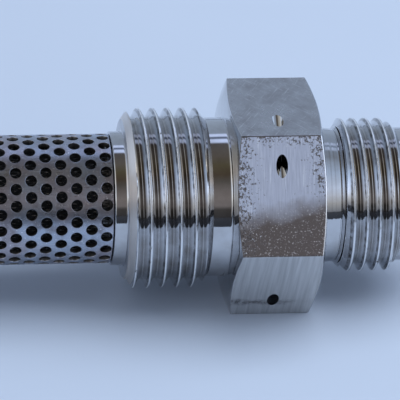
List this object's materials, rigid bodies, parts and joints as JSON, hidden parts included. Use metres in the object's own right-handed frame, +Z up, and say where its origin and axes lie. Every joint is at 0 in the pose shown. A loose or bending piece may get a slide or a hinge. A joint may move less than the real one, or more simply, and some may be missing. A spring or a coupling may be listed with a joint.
{
  "type": "carbon dioxide diffuser fitting",
  "caption": "Threaded stainless hexagon fitting with a perforated tube around a porous sleeve on one end and a flared inlet with a non-return valve on the other, for releasing gas in water.",
  "frame": {"origin": "on the surface the hexagon stands on, under the middle of the whole length and width", "axes": "+X along the fitting's axis towards the flared inlet end, +Z up, the axis 12.7 mm above the surface"},
  "size_m": [0.07, 0.0294, 0.0254],
  "materials": {
    "turned_stainless": "turned bright",
    "satin_stainless": "satin",
    "bright_stainless": "bright",
    "spring_steel": "drawn",
    "woven_wire": "woven",
    "porous_ceramic": "open-pored, matt",
    "ptfe": "matt",
    "black_rubber": "matt"
  },
  "bodies": {
    "fitting": {"fitting_body": "turned_stainless", "guard_tube": "satin_stainless", "mesh_sleeve": "woven_wire", "porous_sleeve": "porous_ceramic", "front_gasket": "ptfe", "rear_gasket": "ptfe", "core_tube": "bright_stainless", "core_o_ring": "black_rubber", "end_cap": "satin_stainless", "cap_washer": "ptfe", "cap_screw": "bright_stainless", "valve_seat": "bright_stainless", "seat_o_ring": "black_rubber", "valve_spring": "spring_steel", "spring_guide": "bright_stainless", "valve_retaining_ring": "spring_steel", "inlet_screen": "woven_wire", "screen_retaining_ring": "spring_steel"},
    "poppet": {"poppet": "bright_stainless", "poppet_seal": "black_rubber"}
  },
  "joints": [
    {"name": "poppet_lift", "type": "slide", "parent": "fitting", "child": "poppet", "axis": [-1, 0, 0], "range_m": [0, 0.0025], "stiffness_N_per_m": 150, "springref_m": -0.004, "deforming": ["valve_spring"]}
  ]
}
